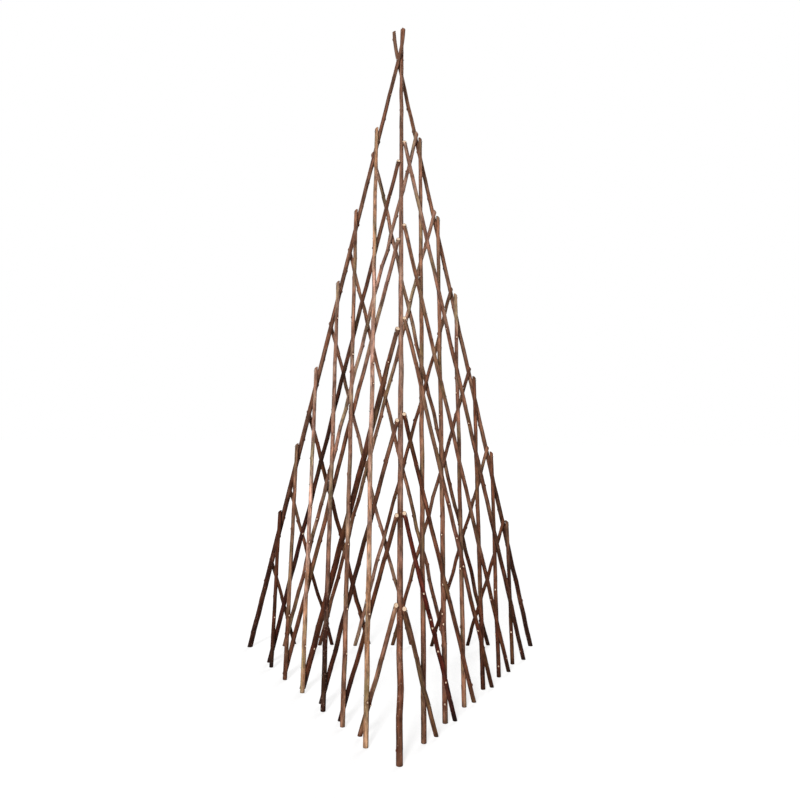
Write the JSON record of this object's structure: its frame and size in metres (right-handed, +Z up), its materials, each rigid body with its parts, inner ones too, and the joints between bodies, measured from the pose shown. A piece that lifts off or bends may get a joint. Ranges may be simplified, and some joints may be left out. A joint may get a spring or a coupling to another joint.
{
  "type": "pyramid trellis",
  "caption": "Free-standing three-sided pyramid trellis of nailed willow rods, with lattice faces that fold flat towards one edge for storage.",
  "frame": {"origin": "middle of the footprint on the ground", "axes": "+Z up, the front corner and its edge rod towards -Y, +X to the right seen from the front corner"},
  "size_m": [0.7495, 0.6575, 1.5341],
  "materials": {
    "bark_red_brown": "unpeeled willow bark, satin, lightly ridged",
    "bark_olive_brown": "unpeeled willow bark, satin, lightly ridged",
    "bark_tan": "unpeeled willow bark, satin, lightly ridged",
    "bark_dark": "unpeeled willow bark, satin, lightly ridged",
    "nail_steel": "plain bright wire nail"
  },
  "bodies": {
    "front_edge_rod": {"front_edge_rod": "bark_red_brown", "apex_nail_front_right": "nail_steel", "apex_nail_front_left": "nail_steel"},
    "right_edge_rod": {"right_edge_rod": "bark_olive_brown", "apex_nail_back": "nail_steel"},
    "left_edge_rod": {"left_edge_rod": "bark_red_brown"},
    "left_face_front_rod_1": {"left_face_front_rod_1": "bark_tan"},
    "left_face_front_rod_2": {"left_face_front_rod_2": "bark_tan"},
    "left_face_front_rod_3": {"left_face_front_rod_3": "bark_red_brown"},
    "left_face_front_rod_4": {"left_face_front_rod_4": "bark_tan"},
    "left_face_front_rod_5": {"left_face_front_rod_5": "bark_olive_brown"},
    "left_face_front_rod_6": {"left_face_front_rod_6": "bark_red_brown"},
    "left_face_side_rod_1": {"left_face_side_rod_1": "bark_dark"},
    "left_face_side_rod_2": {"left_face_side_rod_2": "bark_red_brown"},
    "left_face_side_rod_3": {"left_face_side_rod_3": "bark_dark"},
    "left_face_side_rod_4": {"left_face_side_rod_4": "bark_dark"},
    "left_face_side_rod_5": {"left_face_side_rod_5": "bark_olive_brown"},
    "left_face_side_rod_6": {"left_face_side_rod_6": "bark_dark"},
    "right_face_front_rod_1": {"right_face_front_rod_1": "bark_red_brown"},
    "right_face_front_rod_2": {"right_face_front_rod_2": "bark_red_brown"},
    "right_face_front_rod_3": {"right_face_front_rod_3": "bark_olive_brown"},
    "right_face_front_rod_4": {"right_face_front_rod_4": "bark_red_brown"},
    "right_face_front_rod_5": {"right_face_front_rod_5": "bark_tan"},
    "right_face_front_rod_6": {"right_face_front_rod_6": "bark_red_brown"},
    "right_face_side_rod_1": {"right_face_side_rod_1": "bark_red_brown"},
    "right_face_side_rod_2": {"right_face_side_rod_2": "bark_tan"},
    "right_face_side_rod_3": {"right_face_side_rod_3": "bark_red_brown"},
    "right_face_side_rod_4": {"right_face_side_rod_4": "bark_olive_brown"},
    "right_face_side_rod_5": {"right_face_side_rod_5": "bark_red_brown"},
    "right_face_side_rod_6": {"right_face_side_rod_6": "bark_tan"},
    "back_face_left_rod_1": {"back_face_left_rod_1": "bark_olive_brown"},
    "back_face_left_rod_2": {"back_face_left_rod_2": "bark_dark"},
    "back_face_left_rod_3": {"back_face_left_rod_3": "bark_red_brown"},
    "back_face_left_rod_4": {"back_face_left_rod_4": "bark_olive_brown"},
    "back_face_left_rod_5": {"back_face_left_rod_5": "bark_dark"},
    "back_face_left_rod_6": {"back_face_left_rod_6": "bark_red_brown"},
    "back_face_right_rod_1": {"back_face_right_rod_1": "bark_dark"},
    "back_face_right_rod_2": {"back_face_right_rod_2": "bark_olive_brown"},
    "back_face_right_rod_3": {"back_face_right_rod_3": "bark_dark"},
    "back_face_right_rod_4": {"back_face_right_rod_4": "bark_red_brown"},
    "back_face_right_rod_5": {"back_face_right_rod_5": "bark_olive_brown"},
    "back_face_right_rod_6": {"back_face_right_rod_6": "bark_dark"}
  },
  "joints": [
    {"name": "right_edge_fold", "type": "hinge", "parent": "front_edge_rod", "child": "right_edge_rod", "pos_m": [0.0105, 0.10063, 1.44488], "axis": [-0.8659, 0.5, 0.0133], "range_deg": [-3, 20]},
    {"name": "left_edge_fold", "type": "hinge", "parent": "front_edge_rod", "child": "left_edge_rod", "pos_m": [-0.0051, 0.09561, 1.44312], "axis": [-0.866, -0.5, -0.005], "range_deg": [-3.52, 20.67]},
    {"name": "right_face_side_pivot_1", "type": "hinge", "parent": "front_edge_rod", "child": "right_face_side_rod_1", "pos_m": [0.01076, 0.03423, 1.21941], "axis": [-0.8659, 0.5, 0.0133], "range_deg": [-3.5, 20.5]},
    {"name": "right_face_side_pivot_2", "type": "hinge", "parent": "front_edge_rod", "child": "right_face_side_rod_2", "pos_m": [0.01099, -0.02618, 1.01424], "axis": [-0.8659, 0.5, 0.0133], "range_deg": [-3.5, 20.5]},
    {"name": "right_face_side_pivot_3", "type": "hinge", "parent": "front_edge_rod", "child": "right_face_side_rod_3", "pos_m": [0.01124, -0.08801, 0.80428], "axis": [-0.8659, 0.5, 0.0133], "range_deg": [-3.5, 20.5]},
    {"name": "right_face_side_pivot_4", "type": "hinge", "parent": "front_edge_rod", "child": "right_face_side_rod_4", "pos_m": [0.01147, -0.14701, 0.60391], "axis": [-0.8659, 0.5, 0.0133], "range_deg": [-3.5, 20.5]},
    {"name": "right_face_side_pivot_5", "type": "hinge", "parent": "front_edge_rod", "child": "right_face_side_rod_5", "pos_m": [0.01168, -0.20262, 0.41506], "axis": [-0.8659, 0.5, 0.0133], "range_deg": [-3.5, 20.5]},
    {"name": "right_face_side_pivot_6", "type": "hinge", "parent": "front_edge_rod", "child": "right_face_side_rod_6", "pos_m": [0.01188, -0.2523, 0.24635], "axis": [-0.8659, 0.5, 0.0133], "range_deg": [-3.5, 20.5]},
    {"name": "right_face_front_pivot_1", "type": "hinge", "parent": "right_edge_rod", "child": "right_face_front_rod_1", "pos_m": [0.05733, 0.12774, 1.26271], "axis": [-0.8659, 0.5, 0.0133], "range_deg": [-20.5, 3.5]},
    {"name": "right_face_front_pivot_2", "type": "hinge", "parent": "right_edge_rod", "child": "right_face_front_rod_2", "pos_m": [0.10417, 0.15485, 1.08052], "axis": [-0.8659, 0.5, 0.0133], "range_deg": [-20.5, 3.5]},
    {"name": "right_face_front_pivot_3", "type": "hinge", "parent": "right_edge_rod", "child": "right_face_front_rod_3", "pos_m": [0.15101, 0.18197, 0.89832], "axis": [-0.8659, 0.5, 0.0133], "range_deg": [-20.5, 3.5]},
    {"name": "right_face_front_pivot_4", "type": "hinge", "parent": "right_edge_rod", "child": "right_face_front_rod_4", "pos_m": [0.20303, 0.21208, 0.69599], "axis": [-0.8659, 0.5, 0.0133], "range_deg": [-20.5, 3.5]},
    {"name": "right_face_front_pivot_5", "type": "hinge", "parent": "right_edge_rod", "child": "right_face_front_rod_5", "pos_m": [0.25209, 0.24048, 0.50516], "axis": [-0.8659, 0.5, 0.0133], "range_deg": [-20.5, 3.5]},
    {"name": "right_face_front_pivot_6", "type": "hinge", "parent": "right_edge_rod", "child": "right_face_front_rod_6", "pos_m": [0.2977, 0.26688, 0.32776], "axis": [-0.8659, 0.5, 0.0133], "range_deg": [-20.5, 3.5]},
    {"name": "left_face_side_pivot_1", "type": "hinge", "parent": "front_edge_rod", "child": "left_face_side_rod_1", "pos_m": [-0.00542, 0.01537, 1.17063], "axis": [-0.866, -0.5, -0.005], "range_deg": [-3.52, 20.67]},
    {"name": "left_face_side_pivot_2", "type": "hinge", "parent": "front_edge_rod", "child": "left_face_side_rod_2", "pos_m": [-0.00564, -0.04063, 0.98044], "axis": [-0.866, -0.5, -0.005], "range_deg": [-3.52, 20.67]},
    {"name": "left_face_side_pivot_3", "type": "hinge", "parent": "front_edge_rod", "child": "left_face_side_rod_3", "pos_m": [-0.00587, -0.09918, 0.78161], "axis": [-0.866, -0.5, -0.005], "range_deg": [-3.52, 20.67]},
    {"name": "left_face_side_pivot_4", "type": "hinge", "parent": "front_edge_rod", "child": "left_face_side_rod_4", "pos_m": [-0.00608, -0.15519, 0.59141], "axis": [-0.866, -0.5, -0.005], "range_deg": [-3.52, 20.67]},
    {"name": "left_face_side_pivot_5", "type": "hinge", "parent": "front_edge_rod", "child": "left_face_side_rod_5", "pos_m": [-0.00629, -0.20809, 0.41177], "axis": [-0.866, -0.5, -0.005], "range_deg": [-3.52, 20.67]},
    {"name": "left_face_side_pivot_6", "type": "hinge", "parent": "front_edge_rod", "child": "left_face_side_rod_6", "pos_m": [-0.00647, -0.25477, 0.25324], "axis": [-0.866, -0.5, -0.005], "range_deg": [-3.52, 20.67]},
    {"name": "left_face_front_pivot_1", "type": "hinge", "parent": "left_edge_rod", "child": "left_face_front_rod_1", "pos_m": [-0.04724, 0.11966, 1.27806], "axis": [-0.866, -0.5, -0.005], "range_deg": [-20.67, 3.52]},
    {"name": "left_face_front_pivot_2", "type": "hinge", "parent": "left_edge_rod", "child": "left_face_front_rod_2", "pos_m": [-0.09478, 0.1468, 1.09186], "axis": [-0.866, -0.5, -0.005], "range_deg": [-20.67, 3.52]},
    {"name": "left_face_front_pivot_3", "type": "hinge", "parent": "left_edge_rod", "child": "left_face_front_rod_3", "pos_m": [-0.13815, 0.17155, 0.92197], "axis": [-0.866, -0.5, -0.005], "range_deg": [-20.67, 3.52]},
    {"name": "left_face_front_pivot_4", "type": "hinge", "parent": "left_edge_rod", "child": "left_face_front_rod_4", "pos_m": [-0.19157, 0.20204, 0.71274], "axis": [-0.866, -0.5, -0.005], "range_deg": [-20.67, 3.52]},
    {"name": "left_face_front_pivot_5", "type": "hinge", "parent": "left_edge_rod", "child": "left_face_front_rod_5", "pos_m": [-0.24008, 0.22973, 0.5227], "axis": [-0.866, -0.5, -0.005], "range_deg": [-20.67, 3.52]},
    {"name": "left_face_front_pivot_6", "type": "hinge", "parent": "left_edge_rod", "child": "left_face_front_rod_6", "pos_m": [-0.2837, 0.25463, 0.35185], "axis": [-0.866, -0.5, -0.005], "range_deg": [-20.67, 3.52]},
    {"name": "back_face_left_pivot_1", "type": "hinge", "parent": "right_edge_rod", "child": "back_face_left_rod_1", "pos_m": [0.04323, 0.1286, 1.27164], "axis": [0.007, -1, 0.0063], "range_deg": [-3.54, 20.75]},
    {"name": "back_face_left_pivot_2", "type": "hinge", "parent": "right_edge_rod", "child": "back_face_left_rod_2", "pos_m": [0.0894, 0.15532, 1.09137], "axis": [0.007, -1, 0.0063], "range_deg": [-3.54, 20.75]},
    {"name": "back_face_left_pivot_3", "type": "hinge", "parent": "right_edge_rod", "child": "back_face_left_rod_3", "pos_m": [0.13531, 0.1819, 0.91205], "axis": [0.007, -1, 0.0063], "range_deg": [-3.54, 20.75]},
    {"name": "back_face_left_pivot_4", "type": "hinge", "parent": "right_edge_rod", "child": "back_face_left_rod_4", "pos_m": [0.18491, 0.21061, 0.71835], "axis": [0.007, -1, 0.0063], "range_deg": [-3.54, 20.75]},
    {"name": "back_face_left_pivot_5", "type": "hinge", "parent": "right_edge_rod", "child": "back_face_left_rod_5", "pos_m": [0.23599, 0.24018, 0.5189], "axis": [0.007, -1, 0.0063], "range_deg": [-3.54, 20.75]},
    {"name": "back_face_left_pivot_6", "type": "hinge", "parent": "right_edge_rod", "child": "back_face_left_rod_6", "pos_m": [0.28387, 0.2679, 0.33191], "axis": [0.007, -1, 0.0063], "range_deg": [-3.54, 20.75]},
    {"name": "back_face_right_pivot_1", "type": "hinge", "parent": "back_face_left_rod_1", "child": "back_face_right_rod_1", "pos_m": [-0.01304, 0.16146, 1.04997], "axis": [0.007, -1, 0.0063], "range_deg": [-20.75, 3.54]},
    {"name": "back_face_right_pivot_2", "type": "hinge", "parent": "back_face_left_rod_1", "child": "back_face_right_rod_2", "pos_m": [-0.06874, 0.19398, 0.83056], "axis": [0.007, -1, 0.0063], "range_deg": [-20.75, 3.54]},
    {"name": "back_face_right_pivot_3", "type": "hinge", "parent": "back_face_left_rod_1", "child": "back_face_right_rod_3", "pos_m": [-0.1142, 0.22053, 0.65146], "axis": [0.007, -1, 0.0063], "range_deg": [-20.75, 3.54]},
    {"name": "back_face_right_pivot_4", "type": "hinge", "parent": "back_face_left_rod_1", "child": "back_face_right_rod_4", "pos_m": [-0.16941, 0.25277, 0.43397], "axis": [0.007, -1, 0.0063], "range_deg": [-20.75, 3.54]},
    {"name": "back_face_right_pivot_5", "type": "hinge", "parent": "back_face_left_rod_1", "child": "back_face_right_rod_5", "pos_m": [-0.21804, 0.28117, 0.2424], "axis": [0.007, -1, 0.0063], "range_deg": [-20.75, 3.54]},
    {"name": "back_face_right_pivot_6", "type": "hinge", "parent": "back_face_left_rod_1", "child": "back_face_right_rod_6", "pos_m": [-0.26594, 0.30914, 0.0537], "axis": [0.007, -1, 0.0063], "range_deg": [-20.75, 3.54]}
  ],
  "couplings": [
    {"joint": "left_edge_fold", "follows": "right_edge_fold", "ratio": 1.0084},
    {"joint": "right_face_side_pivot_1", "follows": "right_edge_fold", "ratio": 1},
    {"joint": "right_face_side_pivot_2", "follows": "right_edge_fold", "ratio": 1},
    {"joint": "right_face_side_pivot_3", "follows": "right_edge_fold", "ratio": 1},
    {"joint": "right_face_side_pivot_4", "follows": "right_edge_fold", "ratio": 1},
    {"joint": "right_face_side_pivot_5", "follows": "right_edge_fold", "ratio": 1},
    {"joint": "right_face_side_pivot_6", "follows": "right_edge_fold", "ratio": 1},
    {"joint": "right_face_front_pivot_1", "follows": "right_edge_fold", "ratio": -1},
    {"joint": "right_face_front_pivot_2", "follows": "right_edge_fold", "ratio": -1},
    {"joint": "right_face_front_pivot_3", "follows": "right_edge_fold", "ratio": -1},
    {"joint": "right_face_front_pivot_4", "follows": "right_edge_fold", "ratio": -1},
    {"joint": "right_face_front_pivot_5", "follows": "right_edge_fold", "ratio": -1},
    {"joint": "right_face_front_pivot_6", "follows": "right_edge_fold", "ratio": -1},
    {"joint": "left_face_side_pivot_1", "follows": "right_edge_fold", "ratio": 1.0084},
    {"joint": "left_face_side_pivot_2", "follows": "right_edge_fold", "ratio": 1.0084},
    {"joint": "left_face_side_pivot_3", "follows": "right_edge_fold", "ratio": 1.0084},
    {"joint": "left_face_side_pivot_4", "follows": "right_edge_fold", "ratio": 1.0084},
    {"joint": "left_face_side_pivot_5", "follows": "right_edge_fold", "ratio": 1.0084},
    {"joint": "left_face_side_pivot_6", "follows": "right_edge_fold", "ratio": 1.0084},
    {"joint": "left_face_front_pivot_1", "follows": "right_edge_fold", "ratio": -1.0084},
    {"joint": "left_face_front_pivot_2", "follows": "right_edge_fold", "ratio": -1.0084},
    {"joint": "left_face_front_pivot_3", "follows": "right_edge_fold", "ratio": -1.0084},
    {"joint": "left_face_front_pivot_4", "follows": "right_edge_fold", "ratio": -1.0084},
    {"joint": "left_face_front_pivot_5", "follows": "right_edge_fold", "ratio": -1.0084},
    {"joint": "left_face_front_pivot_6", "follows": "right_edge_fold", "ratio": -1.0084},
    {"joint": "back_face_left_pivot_1", "follows": "right_edge_fold", "ratio": 1.0127},
    {"joint": "back_face_left_pivot_2", "follows": "right_edge_fold", "ratio": 1.0127},
    {"joint": "back_face_left_pivot_3", "follows": "right_edge_fold", "ratio": 1.0127},
    {"joint": "back_face_left_pivot_4", "follows": "right_edge_fold", "ratio": 1.0127},
    {"joint": "back_face_left_pivot_5", "follows": "right_edge_fold", "ratio": 1.0127},
    {"joint": "back_face_left_pivot_6", "follows": "right_edge_fold", "ratio": 1.0127},
    {"joint": "back_face_right_pivot_1", "follows": "right_edge_fold", "ratio": -1.0127},
    {"joint": "back_face_right_pivot_2", "follows": "right_edge_fold", "ratio": -1.0127},
    {"joint": "back_face_right_pivot_3", "follows": "right_edge_fold", "ratio": -1.0127},
    {"joint": "back_face_right_pivot_4", "follows": "right_edge_fold", "ratio": -1.0127},
    {"joint": "back_face_right_pivot_5", "follows": "right_edge_fold", "ratio": -1.0127},
    {"joint": "back_face_right_pivot_6", "follows": "right_edge_fold", "ratio": -1.0127}
  ]
}
